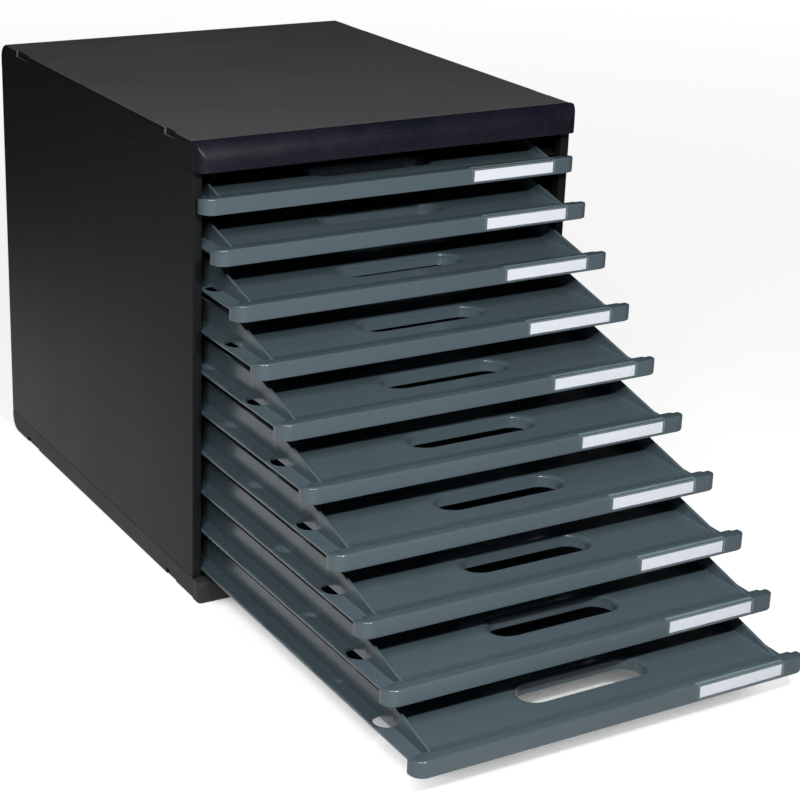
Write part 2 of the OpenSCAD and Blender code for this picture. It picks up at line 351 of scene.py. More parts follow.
# %% [markdown]
# The label is a slip of matt white card: a very fine fibre noise moves its colour by a few per
# cent and gives it a slight tooth. Its cover is clear plastic, 1.2 mm thick in front. It is mostly
# see-through, with a clean reflection. Where light runs along the sheet, at its cut ends and in
# the hook behind the rail's top edge, it looks greenish, so these have a finish of their own.

# %% Card and clear cover
ACRYLIC_IOR = 1.49


def paper(name):
    """White card with fibres."""
    mat, tree, shader = new_material(name)
    fibres = noise(tree, place(tree, (1, 1, 3)), 2200, 4.0, 0.7)
    colour = blend_colours(tree, fibres, (0.74, 0.77, 0.83), (0.80, 0.83, 0.88))
    tree.links.new(colour, shader.inputs["Base Color"])
    shader.inputs["Roughness"].default_value = 0.85
    bump = add(tree, "ShaderNodeBump", Strength=0.6, Distance=0.00001, Height=fibres)
    tree.links.new(bump.outputs["Normal"], shader.inputs["Normal"])
    return mat


def clear_plastic(name, tint, alpha, roughness):
    """Thin clear plastic: alpha is how much of the surface colour shows."""
    mat, tree, shader = new_material(name)
    haze = noise(tree, place(tree), 300, 3.0)
    colour = blend_colours(tree, haze, tint, tuple(0.9 * c for c in tint))
    tree.links.new(colour, shader.inputs["Base Color"])
    rough = span(tree, haze, *NOISE_RANGE, roughness, 2 * roughness)
    tree.links.new(rough, shader.inputs["Roughness"])
    shader.inputs["Alpha"].default_value = alpha
    shader.inputs["IOR"].default_value = ACRYLIC_IOR
    return mat


CARD = paper("label_paper")
COVER = clear_plastic("cover_clear", (0.85, 0.92, 0.92), 0.04, 0.04)
COVER_EDGE = clear_plastic("cover_edge", (0.30, 0.46, 0.46), 0.5, 0.12)
print("label finishes:", CARD.name, COVER.name, COVER_EDGE.name)

# %% [markdown]
# ## The tray's front rail
# The rail is a bar 10 mm deep with generous round ends. Its section goes up the face, over a
# small radius, back along the top and down behind. The section is carried along the rail's plan
# outline: near the face a point moves in square to the outline, and further back it heads for the
# straight rear line, so the skin never folds over itself at the corners.
#
# RECESS is the label's pocket, HOOK the step for the cover's hook and LEG the inner sides of the
# two legs under the rail. A last D stands for a depth, L a length, Z a height, T a thickness.

# %% Sizes of the tray
RAIL_HALF, RAIL_D, RAIL_R, EDGE_R = 141.4, 10.0, 8.5, 1.2
FLOOR_Z, FLOOR_T = -2.3, 2.0
FLAT_D, SLOPE_END, SLOPE_BLEND = 2.0, 15.5, 0.09
RECESS_X0, RECESS_X1 = 55.8, 122.9
RECESS_D, RECESS_Z = 1.6, -9.9
HOOK_L, HOOK_T = 4.0, 0.8
LEG_FRONT, LEG_REAR = 3.8, 7.8


def ease(t, b):
    """0 before -b, t after b, and (t + b)^2 / 4b between: a bend without a corner."""
    return np.where(t < -b, 0.0, np.where(t > b, t, (t + b) ** 2 / (4 * b)))


def top_z(y):
    """The height of the tray's top behind the face: level, then a ramp down to the floor.

    With t = (y - FLAT_D) / (SLOPE_END - FLAT_D), the ramp is ease(t) - ease(t - 1), so it is soft
    at both ends.
    """
    t = (np.asarray(y, float) - FLAT_D) / (SLOPE_END - FLAT_D)
    return FLOOR_Z * (ease(t, SLOPE_BLEND) - ease(t - 1, SLOPE_BLEND))


print("the strip falls from", float(top_z(0)), "to", round(float(top_z(17)), 2), "mm")

# %% [markdown]
# The section comes in four kinds, hollow or solid below and with or without the label's pocket.
# All have the same number of rows, so that a skin can join any two: rows in the middle of a
# straight line are there only for that.

# %% The rail's section
def rail_section(hollow, recessed):
    """Rows of (depth behind the face, height, 1 where the row follows the top's ramp)."""
    face = [(0.5, -RAIL_H, 0), (0.15, -RAIL_H + 0.15, 0), (0, -RAIL_H + 0.5, 0), (0, RECESS_Z, 0)]
    if recessed:
        pocket = [(RECESS_D, RECESS_Z, 0), (RECESS_D, -7.0, 0), (RECESS_D, -4.0, 0),
                  (RECESS_D, -1.2, 0), (RECESS_D, -HOOK_T, 0), (2.0, -HOOK_T, 0),
                  (2.5, -HOOK_T, 0), (3.0, -HOOK_T, 0), (3.5, -HOOK_T, 0), (HOOK_L, -HOOK_T, 0),
                  (HOOK_L, -0.6, 0)]
    else:
        bend = arc(EDGE_R, -EDGE_R, EDGE_R, 180, 90, 7)
        pocket = [(0, -9.0, 0), (0, -6.0, 0), (0, -3.0, 0)] + [(y, z, 1) for y, z in bend]
        pocket += [(2.6, float(top_z(2.6)), 1)]
    back = [(HOOK_L, float(top_z(HOOK_L)), 1), (7.0, float(top_z(7)), 1),
            (RAIL_D - 0.35, float(top_z(RAIL_D - 0.35)), 1),
            (RAIL_D, float(top_z(RAIL_D)) - 0.35, 1), (RAIL_D, -RAIL_H + 0.3, 0),
            (RAIL_D - 0.3, -RAIL_H, 0)]
    roof = FLOOR_Z - FLOOR_T
    if hollow:
        between = [(LEG_REAR, roof, 0), (LEG_FRONT, roof, 0)]
    else:
        between = [(6.5, -RAIL_H, 0), (5.1, -RAIL_H, 0)]
    under = [(LEG_REAR, -RAIL_H, 0)] + between + [(LEG_FRONT, -RAIL_H, 0)]
    return np.array(face + pocket + back + under)


print("rail section:", len(rail_section(False, False)), "=", len(rail_section(True, True)), "rows")

# %% [markdown]
# Where the section changes, two stations stand at the same x, one of each kind. The skin between
# them is the end wall of the label's pocket, or a side of one of the eight ribs that cross the
# hollow underside.

# %% The rail's skin
CELLS, RIB_T = 9, 2.0


def rail_ring(section, outline, inward):
    """One station of the rail's skin, at a point of its plan outline.

    Depth moves a point inward up to EDGE_R, and beyond that towards the rear line y = RAIL_D.
    """
    depth, height, on_top = section.T
    near = np.minimum(depth, EDGE_R)
    at_edge = outline + EDGE_R * inward
    share = np.clip((depth - EDGE_R) / (RAIL_D - EDGE_R), 0, 1)
    x = outline[0] + near * inward[0]
    y = outline[1] + near * inward[1]
    y = y + share * (RAIL_D - at_edge[1])
    drop = top_z(y) - top_z(depth)
    return np.stack([x, y, height + on_top * drop], -1)


def rail_skin():
    """Left end, left corner, front with its pockets and ribs, then the right side again."""
    straight = RAIL_HALF - RAIL_R
    turn = np.radians(np.linspace(0, 90, 13))
    corner = np.stack([-straight - RAIL_R * np.cos(turn), RAIL_R - RAIL_R * np.sin(turn)], -1)
    inward = np.stack([np.cos(turn), np.sin(turn)], -1)
    plain = rail_section(False, False)
    rings = [rail_ring(plain, np.array([-RAIL_HALF, RAIL_D]), np.array([1.0, 0.0]))]
    rings += [rail_ring(plain, o, n) for o, n in zip(corner, inward)]
    cell = 2 * straight / CELLS
    changes = [(RECESS_X0, "recessed", True), (RECESS_X1, "recessed", False)]
    for i in range(CELLS):
        for step, opens in ((RIB_T / 2, True), (cell - RIB_T / 2, False)):
            changes.append((-straight + i * cell + step, "hollow", opens))
    state = {"hollow": False, "recessed": False}
    for x, key, value in sorted(changes):
        before = rail_section(**state)
        state[key] = value
        for section in (before, rail_section(**state)):
            rings.append(rail_ring(section, np.array([x, 0.0]), np.array([0.0, 1.0])))
    rings += [rail_ring(plain, o * [-1, 1], n * [-1, 1])
              for o, n in zip(corner[::-1], inward[::-1])]
    rings.append(rail_ring(plain, np.array([RAIL_HALF, RAIL_D]), np.array([-1.0, 0.0])))
    return loft(rings)


rail = rail_skin()
print("rail:", len(rail[0]), "points,", round(signed_volume(*rail) / 1000, 1), "cm3")

# %% [markdown]
# ## The floor and its finger slot
# The floor is a plate with one long round-ended hole near the front, where fingers reach under the
# paper. The hole's rim is rounded over and a collar hangs down from it. One closed profile does
# all of this: it is carried round the slot's outline, and its outer points are stretched to the
# plate's rectangular edge. The rim is crisp in front and dished at both ends, so its width is
# multiplied by 0.7 + 0.3 n_y + 1.6 n_x^2, where n is the outward direction.
#
# A strip with the ramp's outline joins the floor to the rail. A short web carries the ramp on
# outside each wall, between the rail and the start of the runner flange.

# %% Slot outline and floor plate
SLOT_HALF, SLOT_R, SLOT_Y = 33.5, 12.0, 42.0
FLOOR_X, FLOOR_FRONT, FLOOR_REAR = 124.8, 17.0, 345.4
RIM_R, COLLAR_T = 1.9, 1.8
STRIP_FRONT = 9.0
WEB_REAR, WEB_LOW, WEB_X0, WEB_X1 = 12.2, -8.0, 126.0, 136.0


def slot_path(n_side=16, n_end=24):
    """(point on the slot's edge, outward direction, matching point on the plate's rectangle)."""
    u = np.linspace(-1, 1, n_side, endpoint=False)
    a = np.radians(np.linspace(-90, 90, n_end, endpoint=False))
    front = np.stack([SLOT_HALF * u, 0 * u - SLOT_R], -1)
    right = np.stack([SLOT_HALF + SLOT_R * np.cos(a), SLOT_R * np.sin(a)], -1)
    down = np.stack([0 * u, 0 * u - 1], -1)
    out = np.stack([np.cos(a), np.sin(a)], -1)
    v = (np.degrees(a) + 90) / 180
    edge_front = np.stack([FLOOR_X * u, 0 * u + FLOOR_FRONT], -1)
    edge_right = np.stack([0 * v + FLOOR_X, FLOOR_FRONT + v * (FLOOR_REAR - FLOOR_FRONT)], -1)
    edge_rear = np.stack([-FLOOR_X * u, 0 * u + FLOOR_REAR], -1)
    edge_left = np.stack([0 * v - FLOOR_X, FLOOR_REAR - v * (FLOOR_REAR - FLOOR_FRONT)], -1)
    path = np.concatenate([front, right, -front, -right]) + [0, SLOT_Y]
    normal = np.concatenate([down, out, -down, -out])
    edge = np.concatenate([edge_front, edge_right, edge_rear, edge_left])
    return path, normal, edge


def floor_skin():
    """Rows (distance out from the slot, height, share of the way to the plate's edge)."""
    under = FLOOR_Z - FLOOR_T
    rows = [(2.6, under, 1.0), (2.6, under, 0.3), (2.6, under, 0.03), (2.4, under, 0.0),
            (1.9, under - 0.15, 0.0), (COLLAR_T, under - 0.6, 0.0),
            (COLLAR_T, -RAIL_H + 0.4, 0.0), (1.5, -RAIL_H, 0.0), (0.4, -RAIL_H, 0.0),
            (0.0, -RAIL_H + 0.4, 0.0)]
    first_rim_row = len(rows)
    rows += [(o, z, 0.0) for o, z in arc(RIM_R, FLOOR_Z - RIM_R, RIM_R, 180, 90, 7)]
    rows += [(2.6, FLOOR_Z, 0.01), (3.0, FLOOR_Z, 0.1), (3.0, FLOOR_Z, 0.4), (3.0, FLOOR_Z, 1.0)]
    out, height, share = np.array(rows).T
    path, normal, edge = slot_path()
    widen = 0.7 + 0.3 * normal[:, 1] + 1.6 * normal[:, 0] ** 2
    on_rim = np.arange(len(rows)) >= first_rim_row
    reach = np.where(on_rim, np.minimum(out, RIM_R) * (widen[:, None] - 1), 0.0) + out
    near = path[:, None] + reach[..., None] * normal[:, None]
    flat = near * (1 - share)[None, :, None] + edge[:, None] * share[None, :, None]
    heights = np.broadcast_to(height[None, :, None], (*flat.shape[:2], 1))
    return loft(np.concatenate([flat, heights], -1), loop=True)


def ramp_profile(y, low):
    """A side outline (y, z) that follows the ramp at the given y and is closed at height low."""
    top = np.stack([y, top_z(y)], -1)
    return np.concatenate([top, [[y[-1], low], [y[0], low]]])


floor = floor_skin()
strip_y = np.concatenate([np.linspace(STRIP_FRONT, 14.0, 4), np.linspace(14.4, FLOOR_FRONT, 9)])
strip = extrude(ramp_profile(strip_y, FLOOR_Z - FLOOR_T), "x", [-FLOOR_X, FLOOR_X])
web_y = [STRIP_FRONT, 10.5, 11.7, 12.05, WEB_REAR]
web_profile = ramp_profile(web_y, WEB_LOW)
web_profile[len(web_y) - 1, 1] -= 0.35
web = extrude(web_profile, "x", [WEB_X0, WEB_X1], shrink=0.2)
print("floor:", len(floor[0]), "points; strip:", len(strip[0]), "points")

# %% [markdown]
# ## Side walls
# Each wall ramps up from the rail and then runs level to the back, with a round bead along its
# top. Its section changes with y, so it is a function of y: the bead's height, the soft foot where
# it meets the floor, and the outer foot, which ends square beside the scallop's hole.

# %% Wall skin
WALL_IN, WALL_OUT, WALL_FRONT, BEAD_R = 124.5, 126.5, 9.6, 1.25
RUNNER_Z, RUNNER_T, RUNNER_X = -6.3, 1.8, 136.1
SCALLOP_Y, SCALLOP_R = 58.5, 8.0
RAMP_START, RAMP_END, RAMP_BLEND = 7.0, 57.0, 0.035
BEAD_TOP, BEAD_RISE = 7.95, 11.75
TRAY_L = 347.0


def bead_z(y):
    """The bead's centre: it rises by BEAD_RISE from RAMP_START to RAMP_END, then stays level.

    With t = (y - RAMP_END) / (RAMP_END - RAMP_START), it is BEAD_TOP + BEAD_RISE (t - ease(t)).
    """
    t = (np.asarray(y, float) - RAMP_END) / (RAMP_END - RAMP_START)
    return BEAD_TOP + BEAD_RISE * (t - ease(t, RAMP_BLEND))


def wall_ring(y, holed):
    """The wall's section at y, as a closed ring of (x, y, z); holed is true beside the scallop.

    Near the rail the bead would run below the floor, so its rows are kept at the floor there.
    """
    floor_z, bead = float(top_z(y)), float(bead_z(y))
    inner = 0.8 * np.clip((bead + BEAD_R - floor_z) / 3, 0.05, 1)
    outer = 0.0 if holed else 0.5
    foot = arc(WALL_IN - inner, floor_z + inner, inner, -90, 0, 5)
    top = arc((WALL_IN + WALL_OUT) / 2, bead, BEAD_R, 143, 37, 13)
    base = RUNNER_Z - RUNNER_T
    side = arc(WALL_OUT + outer, RUNNER_Z + outer, outer, 180, 270, 5)
    rows = np.concatenate([
        [[WALL_IN - inner, floor_z - 0.5]], foot, [[WALL_IN, max(bead - 0.9, floor_z + inner)]],
        top, side, [[WALL_OUT + outer, RUNNER_Z - 0.4], [WALL_OUT, RUNNER_Z - 0.8],
                    [WALL_OUT, base + 0.3], [WALL_OUT - 0.3, base], [WALL_IN + 0.3, base],
                    [WALL_IN, base + 0.3], [WALL_IN, FLOOR_Z - FLOOR_T + 0.4]]])
    upper = slice(1, 2 + len(foot) + len(top))
    rows[upper, 1] = np.maximum(rows[upper, 1], floor_z - 0.3)
    return np.stack([rows[:, 0], np.full(len(rows), y), rows[:, 1]], -1)


def wall_skin():
    """Stations close together on the ramp's ends and round the scallop, far apart behind."""
    front = [WALL_FRONT, 10, 10.4, 10.8, 11.3, 12, 13, 14, 15, 16, 17, 20, 26, 32, 38, 44,
             SCALLOP_Y - SCALLOP_R]
    bend = [front[-1], 53.0, 54.6, 55.4, 56.0, 56.6, 57.2, 57.8, 58.6, 60.0,
            SCALLOP_Y + SCALLOP_R]
    back = [bend[-1], 80, 120, 170, 220, 270, 320, 345, 346.6]
    rings = [wall_ring(y, False) for y in front]
    rings += [wall_ring(y, True) for y in bend]
    rings += [wall_ring(y, False) for y in back]
    last = rings[-1].copy()
    last[:, 1] = TRAY_L
    middle = (WALL_IN + WALL_OUT) / 2
    last[:, 0] = middle + (last[:, 0] - middle) * 0.7
    return loft(rings + [last])


wall = wall_skin()
print("wall:", len(wall[0]), "points,", round(signed_volume(*wall) / 1000, 1), "cm3")

# %% [markdown]
# ## Runner flanges
# Outside each wall a flat flange slides in the casing's channel, and a half-round hole, the
# scallop, is cut in it beside the wall. The hole is made by moving the flange's inner edge along
# a half circle: y = centre - R cos a and x = wall + R sin a.

# %% Flange skin
FLANGE_IN, FLANGE_MID = 126.2, 130.8
REAR_IN, REAR_X = 344.4, 124.9


def flange_ring(y, x_in):
    """The flange's section at y, from its inner edge x_in to RUNNER_X."""
    z, low = RUNNER_Z, RUNNER_Z - RUNNER_T
    rows = np.array([
        (FLANGE_IN, low), (FLANGE_IN, z), (130.0, z), (RUNNER_X - 0.7, z),
        (RUNNER_X - 0.4, z - 0.06), (RUNNER_X - 0.12, z - 0.24), (RUNNER_X, z - 0.55),
        (RUNNER_X, low + 0.4), (RUNNER_X - 0.1, low + 0.1), (RUNNER_X - 0.4, low)])
    x = x_in + (rows[:, 0] - FLANGE_IN) * (RUNNER_X - x_in) / (RUNNER_X - FLANGE_IN)
    return np.stack([x, np.full(len(rows), y), rows[:, 1]], -1)


def flange_skin():
    """Stations cosine-spaced round the hole and far apart elsewhere; the last one is drawn in."""
    rings = [flange_ring(y, FLANGE_IN) for y in (WALL_FRONT, 13.0, 20, 30, 40, 49.0, 50.3)]
    a = np.radians(np.linspace(0, 180, 25))
    rings += [flange_ring(SCALLOP_Y - SCALLOP_R * np.cos(t), WALL_OUT + SCALLOP_R * np.sin(t))
              for t in a]
    rings += [flange_ring(y, FLANGE_IN) for y in (66.8, 80, 150, 220, 290, 340, 346.4)]
    last = rings[-1] + [0, 0.6, 0]
    last[:, 0] = FLANGE_MID + (last[:, 0] - FLANGE_MID) * 0.88
    middle = RUNNER_Z - RUNNER_T / 2
    last[:, 2] = middle + (last[:, 2] - middle) * 0.7
    return loft(rings + [last])


flange = flange_skin()
rear_section = np.concatenate([
    [[REAR_IN, FLOOR_Z - 0.5]], arc(344.2, FLOOR_Z + 0.8, 0.8, -90, 0, 5),
    arc(TRAY_L - 1, BEAD_TOP, 1.15, 150, 30, 11),
    [[TRAY_L, 4.0], [TRAY_L, FLOOR_Z - FLOOR_T + 0.3], [TRAY_L - 0.3, FLOOR_Z - FLOOR_T],
     [REAR_IN, FLOOR_Z - FLOOR_T]]])
rear_wall = extrude(rear_section, "x", [-REAR_X, REAR_X])
print("flange:", len(flange[0]), "points; rear wall:", len(rear_wall[0]), "points")

# %% [markdown]
# Ten drawers share these skins. Each still gets a mesh of its own, because its place is written
# into the mesh and it slides on its own body.

# %% Ten trays
tray_skins = [rail, strip, floor, wall, mirrored(wall), flange, mirrored(flange), web,
              mirrored(web), rear_wall]
for d in DRAWERS:
    y, z = tray_place[d]
    piece(f"tray_moulding_{d}", tray_skins, [TRAY], f"drawer_{d}", [f"tray_{d}"],
          (0, y, z))
print("ten trays,", triangles // len(DRAWERS), "triangles each")

# %% [markdown]
# ## Label and cover
# The card is a thin, very slightly bowed slip. The cover is one bent strip: a front plate, a tight
# bend over the rail's top edge and a short hook behind it. The front plate and the bend get the
# clear finish, and the cut ends and everything behind the bend the greenish one. A face is a cut
# end if its normal points sideways, |n_x| > END_FACING.

# %% Cards and covers
CARD_X, CARD_HALF, CARD_LOW, CARD_HIGH = 90.4, 31.7, -9.5, -2.1
CARD_FRONT, CARD_BACK, CARD_BOW = 1.32, 1.55, 0.05
COVER_T, END_FACING = 1.2, 0.3


def card_skin():
    """A slip whose front bows by CARD_BOW (1 - u^2), with u from -1 to 1 along it."""
    u = np.linspace(-1, 1, 25)
    bow = CARD_BOW * (1 - u ** 2)
    front, back = CARD_FRONT - bow, CARD_BACK - bow
    x = CARD_X + CARD_HALF * u
    ring = [(front, CARD_LOW), (front, CARD_LOW + 0.1), (front, CARD_HIGH - 0.1),
            (front, CARD_HIGH), (back, CARD_HIGH), (back, CARD_LOW)]
    return loft(np.stack([np.stack([x, y, np.full(len(u), z)], -1) for y, z in ring], 1))


def cover_skin():
    """The bent strip's section: up the front, round the bend, along the hook and back."""
    outer = arc(EDGE_R, -EDGE_R, EDGE_R, 180, 90, 9)
    inner = arc(EDGE_R + 0.3, -HOOK_T - 0.3, 0.3, 90, 180, 4)
    section = np.concatenate([
        [[0.0, RECESS_Z + 0.2], [0.0, -5.0]], outer, [[HOOK_L - 0.2, 0.0], [HOOK_L, -0.2]],
        [[HOOK_L, -HOOK_T + 0.1], [HOOK_L - 0.1, -HOOK_T]], inner,
        [[COVER_T, -5.0], [COVER_T, RECESS_Z + 0.1], [1.1, RECESS_Z], [0.2, RECESS_Z]]])
    return extrude(section, "x", [RECESS_X0 + 0.05, RECESS_X1 - 0.05], shrink=0.08)


card, cover = card_skin(), cover_skin()
for d in DRAWERS:
    y, z = tray_place[d]
    piece(f"card_slip_{d}", [card], [CARD], f"drawer_{d}", [f"label_card_{d}"],
          (0, y, z))
    clear = piece(f"clear_cover_{d}", [cover], [COVER, COVER_EDGE], f"drawer_{d}",
                  [f"label_window_{d}"], (0, y, z))
    normals, centres = np.zeros((2, 3 * len(clear.data.polygons)), np.float32)
    clear.data.polygons.foreach_get("normal", normals)
    clear.data.polygons.foreach_get("center", centres)
    behind = centres[1::3] / MM - y > EDGE_R + 0.1
    edge = (np.abs(normals[::3]) > END_FACING) | behind
    clear.data.polygons.foreach_set("material_index", edge.astype(np.int32))
print("ten cards and ten covers")

# %% [markdown]
# ## Lid and base
# Lid and base are the same kind of moulding, one turned over: a plate with a skirt all round,
# whose rear corners are rounded as seen from the side. The section across the casing is carried
# from front to back. Its heights are depths below the big outer face, so one function serves both.
# Small notches near the ends of each long edge let clips join stacked cabinets.

# %% The shell's section and stations
WALL = 2.5
REAR_R, EDGE = 10.0, 1.3
CLIP_D, CLIP_H = 1.4, 4.5
CLIPS = [(26.5, 42.5), (284.0, 308.0)]
REBATE_D, REBATE_H = 2.0, 2.0


def shell_ring(y, crown, depth, hollow, notched):
    """Half the section from the middle of the outer face to that of the inner one, mirrored.

    crown is how far the outer face has dropped at y, depth the height of the skirt's edge.
    """
    notch_x, inner_x = HALF_W - CLIP_D, HALF_W - WALL
    if notched:
        edge = [(notch_x, crown + drop) for drop in (0, 0.4, 0.8, 1.3, 1.9, 2.5, CLIP_H)]
    else:
        bend = arc(HALF_W - EDGE, crown + EDGE, EDGE, -90, 0, 6)
        edge = [(notch_x, crown)] + bend.tolist()
    roof = crown + WALL if hollow else depth
    half = np.array([(HALF_W / 2, crown)] + edge + [
        (HALF_W, crown + CLIP_H), (HALF_W, depth - 0.3), (HALF_W - 0.3, depth), (inner_x, depth),
        (inner_x, roof), (inner_x - 40, roof)])
    both = np.concatenate([half, half[::-1] * [-1, 1]])
    return np.stack([both[:, 0], np.full(len(both), y), both[:, 1]], -1)


def shell_skin(depth, rebate):
    """Stations from front to back; rebate lowers the front edge for the trim's tongue."""
    rings = []
    for y, crown in ((0.0, rebate), (REBATE_D, rebate), (REBATE_D, 0.25), (2.08, 0.08),
                     (2.25, 0.0), (WALL, 0.0)):
        rings.append(shell_ring(FRONT + y, crown, depth, False, False))
    rings.append(shell_ring(FRONT + WALL, 0.0, depth, True, False))
    for lo, hi in CLIPS:
        for y, notched in ((lo, False), (lo, True), (hi, True), (hi, False)):
            rings.append(shell_ring(FRONT + y, 0.0, depth, True, notched))
    a = np.radians(np.linspace(0, 90, 19))
    for y, crown in zip(REAR - REAR_R + REAR_R * np.sin(a), REAR_R * (1 - np.cos(a))):
        rings.append(shell_ring(y, crown, depth, y < REAR - WALL - 1, False))
    return loft(rings)


lid = shell_skin(LID_TOP - LID_EDGE, REBATE_H)
lid = (lid[0] * [1, 1, -1] + [0, 0, LID_TOP], [f[::-1] for f in lid[1]])
base = shell_skin(BASE_EDGE, 0.0)
print("lid:", len(lid[0]), "points, volume", round(signed_volume(*lid) / 1000), "cm3; base volume",
      round(signed_volume(*base) / 1000), "cm3")

# %% [markdown]
# Inside, both plates carry shallow stiffening ribs, three across and three along. Each reaches
# 0.5 mm into the plate and stands 6 mm out of it. The lid's faces that point sideways, with
# |n_x| > SIDE_FACING, are satin like the side panels; the others are grained, and their lighter
# colour is a painted sheen, standing for the light the lid's top reflects.

# %% Ribs, then the lid and base pieces
RIB_H, RIB_ROOT, CROSS_RIB_Y, CROSS_RIB_X = 6.0, 0.5, 102.3, 137.0
SIDE_FACING = 0.75


def rib_skins(z0, z1):
    """Six straight ribs between heights z0 and z1, with soft edges."""
    skins = []
    section = rounded([[-1, z0], [1, z0], [1, z1], [-1, z1]], 0.3)
    for x in (-HALF_W / 2, 0.0, HALF_W / 2):
        skins.append(extrude(section + [x, 0], "y", [FRONT + WALL - RIB_ROOT, REAR - REAR_R]))
    for y in (-CROSS_RIB_Y, 0.0, CROSS_RIB_Y):
        skins.append(extrude(section + [y, 0], "x", [-CROSS_RIB_X, CROSS_RIB_X]))
    return skins


def casing_piece(name, skins, finishes, node):
    """A piece of the casing, which stands still."""
    return piece(name, skins, finishes, "casing", [node])


lid_ribs = rib_skins(LID_TOP - WALL - RIB_H, LID_TOP - WALL + RIB_ROOT)
base_ribs = rib_skins(WALL - RIB_ROOT, WALL + RIB_H)
lid_obj = casing_piece("lid_moulding", [lid] + lid_ribs, [CASE_TOP_PAINTED_SHEEN, CASE_SIDE], "top_cover")
casing_piece("base_moulding", [base] + base_ribs, [CASE_SIDE], "base_plate")
normals = np.zeros(3 * len(lid_obj.data.polygons), np.float32)
lid_obj.data.polygons.foreach_get("normal", normals)
# sideways faces get the black satin, the rest the grained finish with its painted sheen
satin = np.abs(normals[::3]) > SIDE_FACING
lid_obj.data.polygons.foreach_set("material_index", satin.astype(np.int32))
print("lid and base made;", int(satin.sum()), "faces of the lid are satin")

# %% [markdown]
# ## Front trims
# The upper trim is a nose: seen from the side it bulges forward in a shallow curve and turns over
# into the flat top with a small radius. Seen from above its corners are round. The two shapes meet
# in a soft mitre, which is the bright diagonal at the front corner. For each row of the side
# profile and each column across, y is the soft maximum of the two fronts. A narrow groove runs
# along the nose's top, just in front of the lid. The foot at the bottom is a plain strip with a
# round top edge.

# %% Trim skins
def soft_max(a, b, k):
    """(a + b + sqrt((a - b)^2 + k^2)) / 2, which rounds the corner between two surfaces."""
    return (a + b + np.sqrt((a - b) ** 2 + k ** 2)) / 2


def trim_skin(profile, front, corner_r, blend):
    """Carries a side profile (y, z) across the casing, its front clipped to the round plan."""
    turn = np.radians(np.linspace(0, 90, 15))
    corner_x = HALF_W - corner_r + corner_r * np.sin(turn)
    corner_y = front + corner_r - corner_r * np.cos(turn)
    mid = np.linspace(0, HALF_W - corner_r, 5)[:-1]
    x = np.concatenate([mid, corner_x])
    plan = np.concatenate([np.full(len(mid), front - 1.0), corner_y])
    plan[len(mid)] = front - 0.2
    rows = np.broadcast_to(profile[None], (len(x), *profile.shape)).copy()
    ahead = profile[:, 0] < front + corner_r + 1.0
    rows[:, ahead, 0] = soft_max(rows[:, ahead, 0], plan[:, None], blend)
    rows[:, :, 0] = np.maximum(rows[:, :, 0], front)
    half = np.concatenate([np.broadcast_to(x[:, None, None], (*rows.shape[:2], 1)), rows], -1)
    # the last ring is a little smaller, which softens the end face's edge
    end = half[-1].copy()
    half[-1, :, 0] -= 0.25
    middle = (end[:, 1:].min(0) + end[:, 1:].max(0)) / 2
    end[:, 1:] = middle + (end[:, 1:] - middle) * 0.96
    half = np.concatenate([half, end[None]])
    return loft(np.concatenate([half[:0:-1] * [-1, 1, 1], half]))


NOSE_FRONT = top_trim_low[1]
BULGE_R, NOSE_R, NOSE_MID = 17.55, 1.3, LID_EDGE + 4.6
bulge_y = NOSE_FRONT + BULGE_R
edge_z = LID_TOP - NOSE_R
edge_y = bulge_y - math.sqrt((BULGE_R - NOSE_R) ** 2 - (edge_z - NOSE_MID) ** 2)
join = math.degrees(math.atan2(edge_z - NOSE_MID, edge_y - bulge_y))
nose_profile = np.concatenate([
    [[FRONT - 0.15, LID_EDGE], [FRONT - 5, LID_EDGE], [NOSE_FRONT + 0.5, LID_EDGE],
     [NOSE_FRONT + 0.15, LID_EDGE + 0.15], [NOSE_FRONT, LID_EDGE + 0.5]],
    arc(bulge_y, NOSE_MID, BULGE_R, 180, join, 14),
    arc(edge_y, edge_z, NOSE_R, join, 90, 7)[1:],
    [[FRONT - 1.2, LID_TOP], [FRONT - 1.0, LID_TOP - 0.2], [FRONT - 0.95, LID_TOP - 0.4],
     [FRONT - 0.55, LID_TOP - 0.4], [FRONT - 0.5, LID_TOP - 0.2], [FRONT - 0.3, LID_TOP],
     [FRONT + 1.5, LID_TOP], [FRONT + 1.75, LID_TOP - 0.25], [FRONT + 1.8, LID_TOP - 2],
     [FRONT - 0.15, LID_TOP - 2]]])
nose = trim_skin(nose_profile, NOSE_FRONT, corner_r=7.5, blend=0.5)
casing_piece("nose_trim", [nose], [CASE_TRIM], "top_front_trim")

BASE_FRONT, BASE_TRIM_TOP, FOOT_R = base_trim_low[1], base_trim_high[2], 4
foot_profile = np.concatenate([
    [[FRONT - 0.15, 0.0], [BASE_FRONT + 0.4, 0.0], [BASE_FRONT + 0.1, 0.1], [BASE_FRONT, 0.4]],
    arc(BASE_FRONT + FOOT_R, BASE_TRIM_TOP - FOOT_R, FOOT_R, 180, 90, 9),
    [[FRONT - 0.4, BASE_TRIM_TOP], [FRONT - 0.15, BASE_TRIM_TOP - 0.25]]])
foot = trim_skin(foot_profile, BASE_FRONT, corner_r=3.0, blend=0.2)
casing_piece("foot_trim", [foot], [CASE_FOOT_PAINTED_LIGHT], "base_front_trim")
print("nose bulges", round(FRONT - NOSE_FRONT, 1), "mm; foot stands out",
      round(FRONT - BASE_FRONT, 1), "mm")

# %% [markdown]
# ## Side and rear panels
# A side panel is a flat plate with a thicker front post, and ten channels moulded inside: a ledge
# under each flange and a guide over it. The plate's plan outline, with the post, is carried up;
# each ledge is a rounded bar whose front is drawn in, so a tray finds its way into the channel. A
# lap behind each seam joins the panel to the lid and the base, and an upright bar near the rear
# is the stop for the rear panel. Every part that joins the plate reaches ROOT into it, and PLAY is
# the gap between a ledge and its flange.

